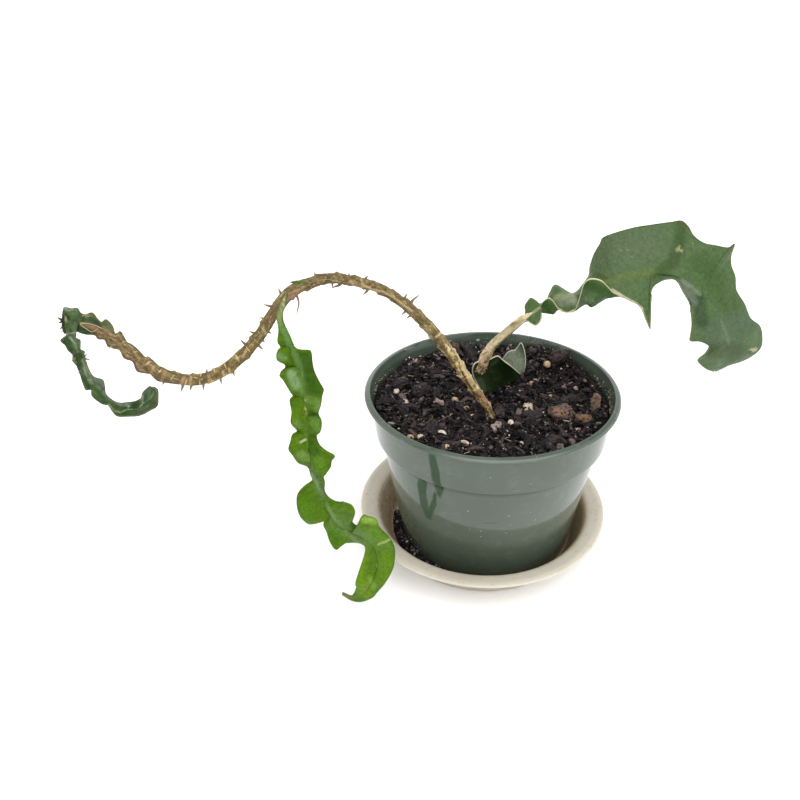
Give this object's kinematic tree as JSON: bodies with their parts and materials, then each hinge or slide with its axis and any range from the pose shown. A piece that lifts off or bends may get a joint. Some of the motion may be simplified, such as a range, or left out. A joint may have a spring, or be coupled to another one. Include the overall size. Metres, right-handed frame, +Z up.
{
  "type": "potted orchid cactus",
  "caption": "Trailing epiphytic cactus with flat waved joints and a bare arching woody stem, growing in bark soil in a plastic nursery pot that stands on a saucer.",
  "frame": {"origin": "on the table plane under the pot's upright axis, in the flat underside of the saucer, whose own centre is 3.2 mm to the left", "axes": "+Z up; +X to the right seen from the front, towards the broad joint; -Y is the front"},
  "size_m": [0.3737, 0.1832, 0.2107],
  "materials": {
    "cream_plastic": "satin, stained by soil and water",
    "green_plastic": "glossy, lightly scratched",
    "bark_soil": "rough, moist bark and peat",
    "woody_stem": "dry, ridged bark",
    "dark_leaf": "satin",
    "bright_leaf": "satin"
  },
  "bodies": {
    "root": {"saucer": "cream_plastic", "pot": "green_plastic", "soil": "bark_soil", "spilled_soil": "bark_soil", "cane": "woody_stem", "right_stem": "woody_stem", "cane_tip": "dark_leaf", "base_cladode": "dark_leaf", "right_cladode": "dark_leaf", "hanging_branch": "bright_leaf"}
  },
  "joints": []
}
